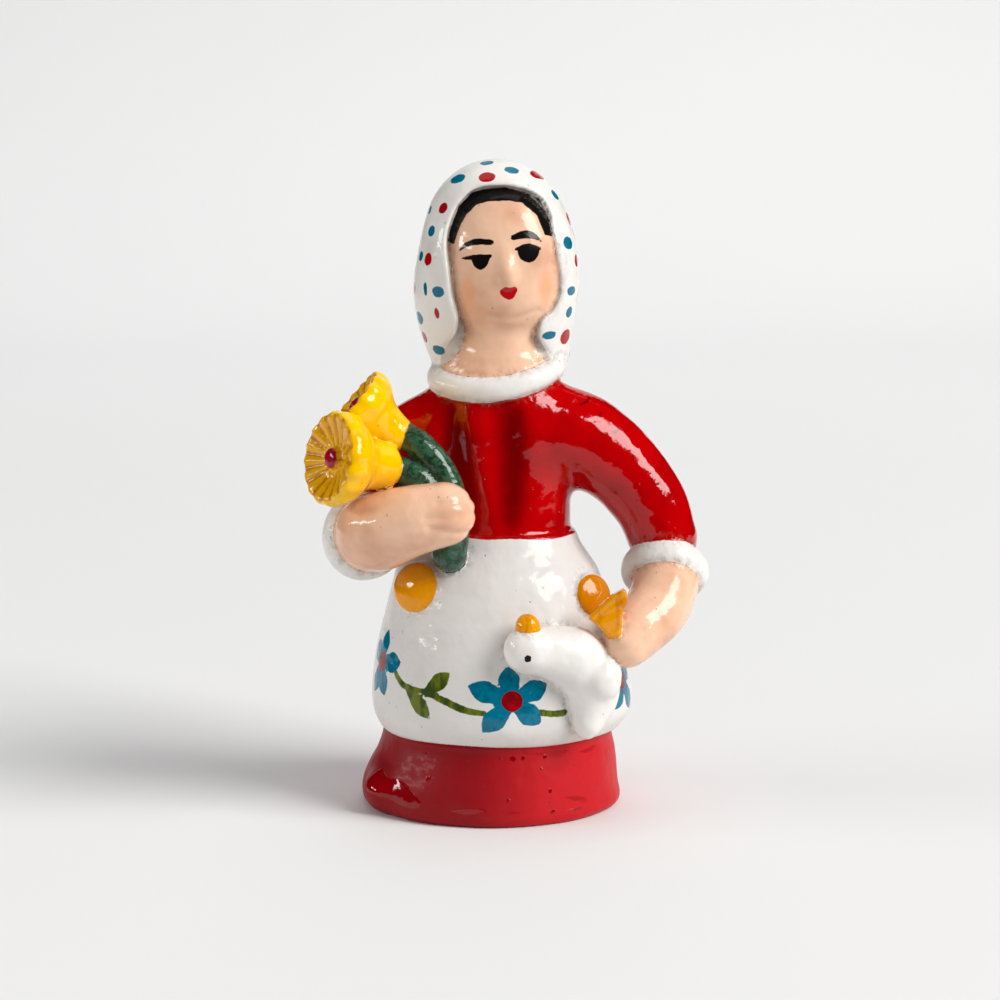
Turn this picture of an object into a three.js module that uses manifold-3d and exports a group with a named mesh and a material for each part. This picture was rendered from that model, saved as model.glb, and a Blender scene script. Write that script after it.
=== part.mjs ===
// Ceramic figurine of a peasant woman in a headscarf, with a bunch of two trumpet flowers in one arm and
// a duck held by its feet in the other hand. Modelled by hand in clay and fired as one solid piece.
// Millimetres, +Z up, the face looks along -Y, +X is to the right of a person who looks at the face.
// The origin is the middle of the flat underside.
import * as THREE from 'three';
import { mergeVertices } from 'three/addons/utils/BufferGeometryUtils.js';
import Module from 'manifold-3d';

const wasm = await Module();
wasm.setup();

// Driving dimensions
const HEIGHT = 150;
const HEM_HEIGHT = 19;
const WAIST_HEIGHT = 64.6;
const SLEEVE_END_RADIUS = 8.0;
const CUFF_ROLL = { out: 2.0, along: 3.3 };
const BLOOM_FLUTES = 16;
const FLUTE_DEPTH = 0.3;
const STEM_RADIUS = 3.2;
const POCKET_PROUD = 2.6;

// Facets round each kind of form
const AROUND_BODY = 36;
const AROUND_HOOD = 28;
const AROUND_LIMB = 14;
const AROUND_SMALL = 10;

// The skirt, the apron over it and the bodice. Columns: height, half width, half depth, middle x, middle y.
const BODY_ROWS = [
  [0, 28.9, 26.4, -1.2, 0.2],
  [1.5, 30.3, 27.4, -1.3, 0.2],
  [5.0, 30.1, 27.2, -1.6, 0.2],
  [9.3, 29.1, 26.4, -1.0, 0.2],
  [12.9, 27.9, 25.4, -0.2, 0.2],
  [HEM_HEIGHT - 1.4, 26.9, 24.6, 0.2, 0.2],
  [HEM_HEIGHT, 28.2, 26.0, 0.7, 0],
  [HEM_HEIGHT + 3.4, 30.1, 27.6, 1.1, 0],
  [26.2, 30.5, 27.7, 1.1, 0],
  [32.2, 29.7, 27.0, 0.8, 0],
  [38.2, 28.4, 25.9, 0.5, 0],
  [45.4, 26.5, 24.2, 0.4, 0],
  [51.0, 25.0, 22.6, 0.2, 0],
  [55.6, 23.5, 20.9, 0, 0],
  [59.0, 20.9, 18.5, 0.3, 0],
  [61.6, 18.9, 16.7, 0.6, 0],
  [WAIST_HEIGHT - 0.8, 17.9, 15.8, 0.7, 0],
  [WAIST_HEIGHT, 17.5, 15.4, 0.7, 0],
  [WAIST_HEIGHT + 0.8, 16.6, 14.4, 0.7, 0.1],
  [68.5, 16.4, 14.0, 0.7, 0.2],
  [76.0, 16.8, 13.6, 0.6, 0.3],
  [84.0, 18.2, 13.6, 0.2, 0.4],
  [91.0, 18.0, 13.2, 0, 0.5],
  [96.5, 15.2, 12.2, 0, 0.6],
  [100.5, 12.6, 11.0, 0, 0.6],
  [103.5, 10.5, 9.5, 0, 0.6],
];

// A lump of clay left at the foot of the skirt.
const BASE_LUMP = { at: [-26.4, -11.6, 5.6], radii: [4.4, 5.6, 4.0] };

// The headscarf, same columns.
const HOOD_ROWS = [
  [97.0, 12.0, 9.0, 0.4, 4.5],
  [100.0, 14.6, 11.5, 0.6, 4.0],
  [104.1, 16.0, 13.2, 0.6, 3.2],
  [108.7, 17.1, 14.4, 0.0, 2.6],
  [113.3, 18.1, 15.4, -0.3, 2.0],
  [117.9, 18.8, 16.2, -0.3, 1.6],
  [122.5, 19.0, 16.8, -0.1, 1.4],
  [127.1, 18.6, 17.0, 0.1, 1.3],
  [131.7, 17.8, 16.6, 0.2, 1.3],
  [136.2, 16.6, 15.7, 0.1, 1.4],
  [140.8, 14.8, 14.0, -0.1, 1.6],
  [144.6, 12.2, 11.6, -0.2, 1.8],
  [147.4, 9.0, 8.6, -0.3, 2.0],
  [149.2, 5.4, 5.2, -0.3, 2.1],
  [HEIGHT, 2.0, 2.0, -0.3, 2.2],
];

// The neck, same columns.
const NECK_ROWS = [
  [92.0, 14.4, 11.2, 0.2, -0.2],
  [100.8, 14.0, 11.2, 0.2, -0.4],
  [104.8, 12.4, 10.6, 0.4, -0.8],
  [107.4, 10.4, 9.9, 0.4, -1.2],
  [111.7, 9.2, 9.4, 0.6, -1.8],
  [118.0, 9.0, 8.5, 1.2, -2.4],
];

// Where the headscarf is open round the face and throat, as x and z seen from the front.
const OPENING = [
  [1.8, 144.1], [-2.7, 143.9], [-5.7, 142.9], [-8.6, 139.8], [-10.8, 134.4], [-11.2, 130.5],
  [-10.6, 124.9], [-10.0, 119.8], [-8.7, 114.8], [-9.2, 110.8], [-12.4, 105.4], [-13.0, 98.0],
  [12.8, 98.0], [12.0, 104.6], [10.0, 108.2], [9.1, 110.8], [9.8, 113.9], [12.6, 116.2],
  [14.2, 119.6], [14.4, 123.6], [13.6, 128.2], [12.7, 133.1], [11.8, 137.4], [9.6, 141.4], [6.2, 143.2],
];
const OPENING_BACK_Y = -7;
const OPENING_FRONT_Y = -30;

// Limb rows: x, y, z of the middle line and the radius there. The ends are half balls round the end points.
const RIGHT_SLEEVE = [[6, 0, 88.5, 11.6], [18, -0.4, 86.4, 10.7], [24.2, -0.8, 82.9, 10.1],
  [29.2, -1, 78.8, 9.3], [35.6, -1.5, 70.6, 8.6], [38.5, -2.2, 63, SLEEVE_END_RADIUS]];
const LEFT_SLEEVE = [[-6, 0, 88.3, 11.4], [-17.5, 0, 84.8, 10.2], [-25.6, -1.5, 77.4, 9.0],
  [-30, -7, 68.5, 8.4]];
const RIGHT_FOREARM = [[39.4, -4.2, 57, 7.2], [38.6, -8.6, 52.2, 7.6], [36.3, -13.2, 47.9, 7.4],
  [32.2, -17.9, 44.5, 6.9], [29.3, -21.2, 41.8, 5.7]];
const LEFT_FOREARM = [[-29.4, -13.5, 65.6, 8.7], [-26.5, -20.5, 67.3, 9.0], [-19, -25, 70.4, 7.9],
  [-11.9, -25.8, 72.1, 7.2]];
const BUNCH_END = [-10.8, -17.4, 61.6];
const HIGH_STEM = [[-23, -15, 89.4, STEM_RADIUS], [-17, -17, 86, STEM_RADIUS + 0.1],
  [-11.8, -18, 79, STEM_RADIUS + 0.2], [-9.8, -18, 70, STEM_RADIUS + 0.5], [...BUNCH_END, STEM_RADIUS + 0.9]];
const LOW_STEM = [[-24, -17.8, 81.4, STEM_RADIUS + 0.2], [-18, -18.6, 79.0, STEM_RADIUS + 0.4],
  [-13.4, -18.6, 74, STEM_RADIUS + 0.2], [...BUNCH_END, STEM_RADIUS + 0.6]];

// The soft grooves that a thumb has drawn down the chest.
const CHEST_GROOVES = [
  [[1.0, -14.4, 98, 3.0], [1.6, -16.2, 92, 4.9], [2.0, -16.4, 84, 5.1], [2.4, -16.2, 76, 4.0],
    [2.6, -15.8, 69, 2.4]],
  [[-10.8, -12.6, 95, 2.6], [-11.0, -13.2, 88, 3.4], [-9.6, -14.0, 80, 3.0], [-8.6, -15.0, 73, 2.2]],
];

// The two cuffs: middle, the way the arm runs through, and the radius of the bead's middle line.
const RIGHT_CUFF = { at: [38.9, -4.2, 55.4], along: [-0.08, -0.7, -0.71], radius: 8.1 };
const LEFT_CUFF = { at: [-30.2, -13.0, 65.0], along: [0.42, -0.9, 0.12], radius: 8.1 };

// The two blooms: middle of the rim, middle of the end at the stem, and radius of the rim.
const NEAR_BLOOM = { rim: [-37.2, -27.6, 84.9], end: [-22.9, -17.8, 81.3], radius: 10.6 };
const FAR_BLOOM = { rim: [-32.4, -16.2, 96.0], end: [-20.8, -15.0, 86.6], radius: 9.2 };

// A bloom's outline from the stem end to the middle of its mouth: share of the length, share of the radius.
const BLOOM_OUTLINE = [
  [1.0, 0], [0.97, 0.34], [0.88, 0.47], [0.58, 0.57], [0.34, 0.85], [0.2, 0.97], [0.06, 1.0],
  [-0.02, 0.92], [0.08, 0.3], [0.0, 0.2], [-0.03, 0],
];
const FLUTED_FROM = 4;
const FLUTED_TO = 7;

// The face is an egg with a jaw and a slight nose.
const FACE_EGG = { at: [1.6, -4.6, 126.0], radii: [13.3, 10.6, 18.2] };
const JAW = { at: [2.0, -8.4, 119.0], radii: [8.6, 5.4, 4.6] };
const NOSE = [[1.6, -13.6, 130, 0.9], [2.1, -14.8, 126.6, 1.3], [2.4, -14.9, 124.4, 1.6]];

// The collar's ring, how it tilts across and dips at the throat, and the thickness of its roll.
const COLLAR = {
  halfWidth: 14.0, halfDepth: 11.4, middleY: -0.4, sideHeight: 102.6, tilt: 0.11, dip: 4.1, out: 2.2, up: 2.7,
};
const COLLAR_DIP_SHARPNESS = 2.6;

// The two pockets: middle of the disc on the apron, the way it faces, and radius.
const LEFT_POCKET = { at: [-18.1, -14.0, 53.2], facing: [-0.44, -0.86, 0.24], radius: 6.1 };
const RIGHT_POCKET = { at: [21.6, -12.6, 51.1], facing: [0.58, -0.77, 0.26], radius: 5.2 };

// A pocket's outline from behind the apron to its middle: share of the radius, share of how far it stands out.
const POCKET_OUTLINE = [[0, -3], [1, -3], [1, 0.5], [0.86, 0.86], [0.5, 1], [0, 1.05]];

// The duck hangs head down from its feet, its neck bent up so that the beak points at the sky.
const DUCK_NECK = [[8.2, -27.0, 41.3, 4.9], [12, -25.0, 40.4, 6.0], [16.4, -23.2, 39.2, 6.7]];
const DUCK_BODY = [[18.8, -22, 38, 6.3], [20.8, -21.6, 34.4, 6.8], [21.2, -21.4, 30, 6.4], [20.6, -22, 26, 4.8],
  [20.4, -23.4, 23.2, 2.9]];
const DUCK_WING = { at: [23.6, -24.5, 34.7], radii: [4.6, 4.6, 5.3] };
const DUCK_TAIL = { at: [20.8, -24.6, 24.8], radii: [3.0, 3.0, 4.6] };
const DUCK_HEAD = { at: [6.4, -28, 41.6], radii: [5.0, 4.6, 5.2] };
const DUCK_BEAK = { at: [6.9, -28.2, 46.9], radii: [2.8, 2.6, 3.0] };
const FOOT_CORNERS = [[21.2, 48.4], [26.0, 52.8], [28.4, 54.2], [28.8, 52.4], [27.4, 49.0], [27.2, 44.2],
  [25.4, 44.2], [23.2, 46.8]];
const FOOT_THICKNESS = 2.4;
const FOOT_BEVEL = 0.6;
const FOOT_FRONT_Y = -25.4;

const UP = new THREE.Vector3(0, 0, 1);
const vector = ([x, y, z]) => new THREE.Vector3(x, y, z);
const mix = (a, b, share) => a + (b - a) * share;

// Moves every vertex of a geometry to where a function puts it.
function reshape(geometry, place) {
  const position = geometry.attributes.position;
  const point = new THREE.Vector3();
  for (let i = 0; i < position.count; i += 1) {
    point.fromBufferAttribute(position, i);
    position.setXYZ(i, ...place(point).toArray());
  }
  return geometry;
}

// Signed volume of a triangle list, to tell which way its faces point.
function signedVolume(points, triangles) {
  const corner = (i) => new THREE.Vector3().fromArray(points, 3 * i);
  let volume = 0;
  for (let i = 0; i < triangles.length; i += 3) {
    const cross = corner(triangles[i + 1]).cross(corner(triangles[i + 2]));
    volume += corner(triangles[i]).dot(cross) / 6;
  }
  return volume;
}

// Turns a closed geometry into a solid: shared vertices become one and flat triangles are left out.
function toSolid(geometry) {
  const bare = geometry.clone();
  bare.deleteAttribute('normal');
  bare.deleteAttribute('uv');
  const merged = mergeVertices(bare, 1e-4);
  const index = merged.index.array;
  const points = merged.attributes.position.array;
  const triangles = [];
  for (let i = 0; i < index.length; i += 3) {
    const [a, b, c] = [index[i], index[i + 1], index[i + 2]];
    if (a !== b && b !== c && c !== a) triangles.push(a, b, c);
  }
  if (signedVolume(points, triangles) < 0) triangles.reverse();
  const mesh = new wasm.Mesh({ numProp: 3, vertProperties: points, triVerts: new Uint32Array(triangles) });
  return new wasm.Manifold(mesh);
}

// A form built up in level rings, each with its own half width, half depth and middle.
function loft(rows, around) {
  const outline = rows.map((row) => new THREE.Vector2(1, row[0]));
  outline.unshift(new THREE.Vector2(0, rows[0][0]));
  outline.push(new THREE.Vector2(0, rows.at(-1)[0]));
  const byHeight = new Map(rows.map((row) => [Math.fround(row[0]), row]));
  return toSolid(reshape(new THREE.LatheGeometry(outline, around), (p) => {
    const [height, halfWidth, halfDepth, middleX, middleY] = byHeight.get(Math.fround(p.y));
    return new THREE.Vector3(middleX + halfWidth * p.x, middleY - halfDepth * p.z, height);
  }));
}

// The same rows with one more at each end, a radius further on, where the rounded end closes.
function withEnds(rows) {
  const beyond = (end, next) => {
    const point = vector(end).add(vector(end).sub(vector(next)).setLength(end[3]));
    return [...point.toArray(), end[3]];
  };
  return [beyond(rows[0], rows[1]), ...rows, beyond(rows.at(-1), rows.at(-2))];
}

// A round limb along a smooth curve, with a radius at each given point and rounded ends.
function limb(given, around = AROUND_LIMB, along = 12) {
  const rows = withEnds(given);
  const curve = new THREE.CatmullRomCurve3(rows.map(vector), false, 'centripetal');
  const length = curve.getLength();
  const steps = 40;
  const frames = curve.computeFrenetFrames(steps);
  const radiusAt = (share) => {
    const place = curve.getUtoTmapping(share) * (rows.length - 1);
    const before = Math.min(Math.floor(place), rows.length - 2);
    return mix(rows[before][3], rows[before + 1][3], place - before);
  };
  const roundEnd = (distance, radius) => {
    const inward = Math.min(distance / radius, 1);
    return Math.sqrt(1 - (1 - inward) ** 2);
  };
  return toSolid(reshape(new THREE.SphereGeometry(1, around, along), (p) => {
    const share = THREE.MathUtils.clamp((1 - p.y) / 2, 0, 1);
    const across = Math.hypot(p.x, p.z) || 1;
    const tangent = curve.getTangentAt(share);
    const normal = frames.normals[Math.round(share * steps)];
    const side = new THREE.Vector3().crossVectors(tangent, normal).normalize();
    const over = new THREE.Vector3().crossVectors(side, tangent);
    const ends = roundEnd(share * length, rows[0][3]) * roundEnd((1 - share) * length, rows.at(-1)[3]);
    const radius = radiusAt(share) * ends;
    return curve.getPointAt(share)
      .addScaledVector(side, (radius * p.x) / across)
      .addScaledVector(over, (radius * p.z) / across);
  }));
}

// An egg form.
function ball({ at, radii }, around = 16, along = 12) {
  const geometry = new THREE.SphereGeometry(1, around, along);
  geometry.rotateX(Math.PI / 2).scale(...radii).translate(...at);
  return toSolid(geometry);
}

// Turns a geometry that is modelled along +Z so that it points along a direction, and moves it there.
function aim(geometry, at, direction) {
  const turn = new THREE.Quaternion().setFromUnitVectors(UP, vector(direction).normalize());
  return geometry.applyQuaternion(turn).translate(...at);
}

// A closed roll: the function puts each vertex by its angle round the ring and its place in a unit section.
function roll(around, place) {
  const ringRadius = 4;
  return reshape(new THREE.TorusGeometry(ringRadius, 1, 7, around), (p) => (
    place(Math.atan2(p.y, p.x), Math.hypot(p.x, p.y) - ringRadius, p.z)
  ));
}

// A flattened roll round a wrist.
function cuff({ at, along, radius }) {
  const band = roll(20, (angle, outward, upward) => {
    const out = radius + CUFF_ROLL.out * outward;
    return new THREE.Vector3(out * Math.cos(angle), out * Math.sin(angle), CUFF_ROLL.along * upward);
  });
  return toSolid(aim(band, at, along));
}

// The collar is a flattened roll that dips at the throat.
function collar() {
  return toSolid(roll(26, (angle, outward, upward) => {
    const front = (1 - Math.sin(angle)) / 2;
    return new THREE.Vector3(
      (COLLAR.halfWidth + COLLAR.out * outward) * Math.cos(angle),
      COLLAR.middleY + (COLLAR.halfDepth + COLLAR.out * outward) * Math.sin(angle),
      COLLAR.sideHeight + COLLAR.tilt * COLLAR.halfWidth * Math.cos(angle)
        - COLLAR.dip * front ** COLLAR_DIP_SHARPNESS + COLLAR.up * upward,
    );
  }));
}

// The hollow that the face sits in.
function hoodOpening() {
  const shape = new THREE.Shape();
  shape.setFromPoints(new THREE.SplineCurve(OPENING.map(([x, z]) => new THREE.Vector2(x, z))).getPoints(36));
  const depth = OPENING_BACK_Y - OPENING_FRONT_Y;
  const block = new THREE.ExtrudeGeometry(shape, { depth, bevelEnabled: false });
  block.rotateX(Math.PI / 2).translate(0, OPENING_BACK_Y, 0);
  return toSolid(block);
}

// Only the face's relief: its eyes, brows and mouth are painted.
function face() {
  return ball(FACE_EGG, 20, 12).add(ball(JAW, 14, 8)).add(limb(NOSE, 8, 6));
}

// The head in its scarf, on the neck.
function head() {
  return loft(HOOD_ROWS, AROUND_HOOD).subtract(hoodOpening()).add(face()).add(loft(NECK_ROWS, 18));
}

// A trumpet bloom: fluted rim, dished mouth with a button in it, and a cup that narrows to the stem.
function bloom({ rim, end, radius }) {
  const away = vector(rim).sub(vector(end));
  const length = away.length();
  const outline = BLOOM_OUTLINE.map(([along, out]) => new THREE.Vector2(
    out * radius, -along * length,
  ));
  const around = 2 * BLOOM_FLUTES;
  const geometry = new THREE.LatheGeometry(outline, around).rotateX(Math.PI / 2);
  const flutedHeights = outline.slice(FLUTED_FROM, FLUTED_TO + 1).map((point) => point.y);
  const isFluted = (p) => flutedHeights.some((height) => Math.abs(height - p.z) < 1e-4);
  reshape(geometry, (p) => {
    if (!isFluted(p)) return p;
    const wave = Math.cos(Math.atan2(p.y, p.x) * BLOOM_FLUTES);
    const scale = 1 + (FLUTE_DEPTH * wave) / radius;
    return new THREE.Vector3(p.x * scale, p.y * scale, p.z + FLUTE_DEPTH * 0.6 * wave);
  });
  return toSolid(aim(geometry, rim, away.toArray()));
}

// A pocket is a domed disc stuck on the apron.
function pocket({ at, facing, radius }) {
  const points = POCKET_OUTLINE.map(([out, up]) => new THREE.Vector2(out * radius, up * POCKET_PROUD));
  const disc = new THREE.LatheGeometry(points, 16).rotateX(Math.PI / 2);
  return toSolid(aim(disc, at, facing));
}

// The duck's two webbed feet, pressed into one fan that the hand grips.
function duckFeet() {
  const shape = new THREE.Shape(FOOT_CORNERS.map(([x, z]) => new THREE.Vector2(x, z)));
  const settings = { bevelThickness: FOOT_BEVEL, bevelSize: FOOT_BEVEL, bevelSegments: 2 };
  const fan = new THREE.ExtrudeGeometry(shape, { depth: FOOT_THICKNESS, bevelEnabled: true, ...settings });
  fan.rotateX(Math.PI / 2).translate(0, FOOT_FRONT_Y + FOOT_THICKNESS, 0);
  return toSolid(fan);
}

function duck() {
  return limb(DUCK_NECK, 14, 10).add(limb(DUCK_BODY, 16, 12)).add(ball(DUCK_HEAD)).add(ball(DUCK_BEAK, 12, 8))
    .add(ball(DUCK_WING)).add(ball(DUCK_TAIL, 12, 8)).add(duckFeet());
}

// The skirt, the apron and the bodice with its sleeves and chest folds.
function body() {
  const whole = loft(BODY_ROWS, AROUND_BODY).add(limb(RIGHT_SLEEVE)).add(limb(LEFT_SLEEVE));
  const folded = CHEST_GROOVES.reduce((clay, groove) => clay.subtract(limb(groove, AROUND_SMALL, 8)), whole);
  return folded.add(ball(BASE_LUMP, 12, 8));
}

function arms() {
  return [limb(RIGHT_FOREARM), limb(LEFT_FOREARM, 18), cuff(RIGHT_CUFF), cuff(LEFT_CUFF)];
}

function flowers() {
  return [bloom(NEAR_BLOOM), bloom(FAR_BLOOM), limb(HIGH_STEM, AROUND_SMALL), limb(LOW_STEM, AROUND_SMALL)];
}

// The whole figurine is one fired piece.
function figurine() {
  const pockets = [pocket(LEFT_POCKET), pocket(RIGHT_POCKET)];
  const forms = [head(), collar(), ...arms(), ...flowers(), ...pockets, duck()];
  const clay = forms.reduce((whole, form) => whole.add(form), body());
  const mesh = clay.getMesh();
  const geometry = new THREE.BufferGeometry();
  geometry.setAttribute('position', new THREE.BufferAttribute(mesh.vertProperties, mesh.numProp));
  geometry.setIndex(new THREE.BufferAttribute(mesh.triVerts, 1));
  geometry.computeVertexNormals();
  const lacquered = new THREE.MeshStandardMaterial({ color: 0xb01018, roughness: 0.15, metalness: 0 });
  const piece = new THREE.Mesh(geometry, lacquered);
  piece.name = 'figurine';
  return piece;
}

const group = new THREE.Group();
group.add(figurine());
export default group;
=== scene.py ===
import itertools
import math

import bpy
import numpy as np
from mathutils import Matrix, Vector


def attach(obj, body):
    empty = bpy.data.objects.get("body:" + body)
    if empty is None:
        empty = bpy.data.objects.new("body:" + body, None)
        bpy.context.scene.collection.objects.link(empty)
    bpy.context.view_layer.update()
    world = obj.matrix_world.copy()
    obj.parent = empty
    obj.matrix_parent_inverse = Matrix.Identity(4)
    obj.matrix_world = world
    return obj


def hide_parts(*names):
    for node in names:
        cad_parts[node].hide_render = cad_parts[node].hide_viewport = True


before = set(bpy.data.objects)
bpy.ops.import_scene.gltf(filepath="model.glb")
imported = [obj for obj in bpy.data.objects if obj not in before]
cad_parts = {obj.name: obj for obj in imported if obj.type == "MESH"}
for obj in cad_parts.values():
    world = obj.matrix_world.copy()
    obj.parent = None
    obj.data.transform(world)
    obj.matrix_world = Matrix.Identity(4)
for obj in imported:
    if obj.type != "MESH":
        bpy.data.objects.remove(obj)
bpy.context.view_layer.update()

MM = 0.001

# Driving dimensions
HEIGHT = 150
HEM_HEIGHT = 19
WAIST_HEIGHT = 64.6
SLEEVE_END_RADIUS = 8.0
CUFF_OUT, CUFF_ALONG = 2.0, 3.3
BLOOM_FLUTES = 16
FLUTE_DEPTH = 0.18
GROOVE_DEPTH = 0.3
BUTTON_RADIUS = 2.3
STEM_RADIUS = 3.2
POCKET_PROUD, POCKET_DOME, POCKET_ROUNDING, POCKET_DEPTH = 2.6, 1.5, 1.2, 6
FOOT_THICKNESS, FOOT_SWELL, FOOT_ROUNDING = 2.4, 0.6, 0.7
LUMP_HEIGHT = 0.12

# The skirt, the apron over it and the bodice. Columns: height, half width, half depth, middle x, middle y.
BODY_ROWS = [
    (0, 28.9, 26.4, -1.2, 0.2), (1.5, 30.3, 27.4, -1.3, 0.2), (5, 30.1, 27.2, -1.6, 0.2),
    (9.3, 29.1, 26.4, -1, 0.2), (12.9, 27.9, 25.4, -0.2, 0.2), (HEM_HEIGHT - 1.4, 26.9, 24.6, 0.2, 0.2),
    (HEM_HEIGHT, 28.2, 26, 0.7, 0), (HEM_HEIGHT + 3.4, 30.1, 27.6, 1.1, 0), (26.2, 30.5, 27.7, 1.1, 0),
    (32.2, 29.7, 27, 0.8, 0), (38.2, 28.4, 25.9, 0.5, 0), (45.4, 26.5, 24.2, 0.4, 0),
    (51, 25, 22.6, 0.2, 0), (55.6, 23.5, 20.9, 0, 0), (59, 20.9, 18.5, 0.3, 0),
    (61.6, 18.9, 16.7, 0.6, 0), (WAIST_HEIGHT - 0.8, 17.9, 15.8, 0.7, 0), (WAIST_HEIGHT, 17.5, 15.4, 0.7, 0),
    (WAIST_HEIGHT + 0.8, 16.6, 14.4, 0.7, 0.1), (68.5, 16.4, 14, 0.7, 0.2),
    (76, 16.8, 13.6, 0.6, 0.3), (84, 18.2, 13.6, 0.2, 0.4), (91, 18, 13.2, 0, 0.5),
    (96.5, 15.2, 12.2, 0, 0.6), (100.5, 12.6, 11, 0, 0.6), (103.5, 10.5, 9.5, 0, 0.6),
]
# A lump of clay left at the foot of the skirt: middle and radii.
BASE_LUMP = ((-26.4, -11.6, 5.6), (4.4, 5.6, 4))
HOOD_ROWS = [
    (97, 12, 9, 0.4, 4.5), (100, 14.6, 11.5, 0.6, 4), (104.1, 16, 13.2, 0.6, 3.2),
    (108.7, 17.1, 14.4, 0, 2.6), (113.3, 18.1, 15.4, -0.3, 2), (117.9, 18.8, 16.2, -0.3, 1.6),
    (122.5, 19, 16.8, -0.1, 1.4), (127.1, 18.6, 17, 0.1, 1.3), (131.7, 17.8, 16.6, 0.2, 1.3),
    (136.2, 16.6, 15.7, 0.1, 1.4), (140.8, 14.8, 14, -0.1, 1.6), (144.6, 12.2, 11.6, -0.2, 1.8),
    (147.4, 9, 8.6, -0.3, 2), (149.2, 5.4, 5.2, -0.3, 2.1), (HEIGHT, 2, 2, -0.3, 2.2),
]
NECK_ROWS = [
    (94, 10, 8, 0.2, 0.4), (98, 12, 9.4, 0.2, 0), (100.8, 14, 11.2, 0.2, -0.4),
    (104.8, 12.4, 10.6, 0.4, -0.8), (107.4, 10.4, 9.9, 0.4, -1.2), (111.7, 9.2, 9.4, 0.6, -1.8),
    (118, 9, 8.5, 1.2, -2.4),
]

# Where the headscarf is open round the face and throat, as x and z seen from the front.
OPENING = [
    (1.8, 144.1), (-2.7, 143.9), (-5.7, 142.9), (-8.6, 139.8), (-10.8, 134.4), (-11.2, 130.5),
    (-10.6, 124.9), (-10, 119.8), (-8.7, 114.8), (-9.2, 110.8), (-12.4, 105.4), (-13, 98),
    (12.8, 98), (12, 104.6), (10, 108.2), (9.1, 110.8), (9.8, 113.9), (12.6, 116.2),
    (14.2, 119.6), (14.4, 123.6), (13.6, 128.2), (12.7, 133.1), (11.8, 137.4), (9.6, 141.4), (6.2, 143.2),
]
OPENING_BACK_Y = -7.0
RIM_ROUNDING = 1.8

# Limb rows: x, y, z of the middle line and the radius there.
SLEEVES = [
    [(6, 0, 88.5, 11.6), (18, -0.4, 86.4, 10.7), (24.2, -0.8, 82.9, 10.1), (29.2, -1, 78.8, 9.3),
     (35.6, -1.5, 70.6, 8.6), (38.5, -2.2, 63, SLEEVE_END_RADIUS)],
    [(-6, 0, 88.3, 11.4), (-17.5, 0, 84.8, 10.2), (-25.6, -1.5, 77.4, 9), (-30, -7, 68.5, 8.4)],
]
RIGHT_FOREARM = [
    (39.4, -4.2, 57, 7.2), (38.6, -8.6, 52.2, 7.6), (36.3, -13.2, 47.9, 7.4), (32.2, -17.9, 44.5, 6.9),
    (29.3, -21.2, 41.8, 5.7),
]
LEFT_FOREARM = [
    (-29.4, -13.5, 65.6, 8.7), (-26.5, -20.5, 67.3, 9), (-19, -25, 70.4, 7.9), (-11.9, -25.8, 72.1, 7.2),
]
BUNCH_END = (-10.8, -17.4, 61.6)
STEMS = [
    [(-23, -15, 89.4, STEM_RADIUS), (-17, -17, 86, STEM_RADIUS + 0.1), (-11.8, -18, 79, STEM_RADIUS + 0.2),
     (-9.8, -18, 70, STEM_RADIUS + 0.5), (*BUNCH_END, STEM_RADIUS + 0.9)],
    [(-24, -17.8, 81.4, STEM_RADIUS + 0.2), (-18, -18.6, 79, STEM_RADIUS + 0.4),
     (-13.4, -18.6, 74, STEM_RADIUS + 0.2), (*BUNCH_END, STEM_RADIUS + 0.6)],
]

# The soft grooves that a thumb has drawn down the chest.
CHEST_GROOVES = [
    [(1, -14.4, 98, 3), (1.6, -16.2, 92, 4.9), (2, -16.4, 84, 5.1), (2.4, -16.2, 76, 4),
     (2.6, -15.8, 69, 2.4)],
    [(-10.8, -12.6, 95, 2.6), (-11, -13.2, 88, 3.4), (-9.6, -14, 80, 3), (-8.6, -15, 73, 2.2)],
]

# The two cuffs: middle, the way the arm runs through, and the radius of the bead's middle line.
CUFFS = [((38.9, -4.2, 55.4), (-0.08, -0.7, -0.71), 8.1), ((-30.2, -13, 65), (0.42, -0.9, 0.12), 8.1)]

# The two blooms: middle of the rim, middle of the end at the stem, and radius of the rim.
BLOOMS = [
    ((-37.2, -27.6, 84.9), (-22.9, -17.8, 81.3), 10.6), ((-32.4, -16.2, 96), (-20.8, -15, 86.6), 9.2),
]

# A bloom's outline from the stem to the middle of its mouth: share of the length, share of the radius.
BLOOM_OUTLINE = [
    (1, 0), (0.98, 0.3), (0.9, 0.46), (0.72, 0.52), (0.56, 0.58), (0.44, 0.7), (0.34, 0.85), (0.2, 0.97),
    (0.06, 1), (-0.02, 0.92), (0.02, 0.7), (0.08, 0.45), (0.09, 0.26), (0, 0.2), (-0.03, 0),
]

# Shallow lines pressed into the clay between the fingers, under the chin and down the webbed feet, as x and
# z, with two corners of the box that holds them.
HELD_LINES = ([
    [(-13, 75.4), (-9.3, 75.3), (-5, 75.6)],
    [(-15.7, 72), (-10.8, 72.3), (-4.6, 72.5)],
    [(-14.8, 70), (-10.4, 68.9), (-5.4, 68.2)],
], ((-17, -30, 66), (-3, -27, 78)))
FIST_LINES = ([
    [(24.6, 45.4), (28.5, 44.6), (32.5, 45.7)],
    [(24.8, 42.3), (28.9, 41.2), (33, 43)],
], ((24, -24, 38), (34, -20, 47)))
CHIN_LINES = ([[(-1.8, 115.4), (4.1, 114.9), (9, 116.6)]], ((-4, -20, 112), (11, -8, 119)))
FOOT_LINES = ([
    [(22, 48.2), (25, 49.4), (28.2, 50.6)],
    [(22.6, 48.9), (25.4, 51.2), (28.4, 53)],
], ((20, -26, 44), (30, -25, 55)))
LINE_DEPTH, LINE_WIDTH = 0.32, 0.8

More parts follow.
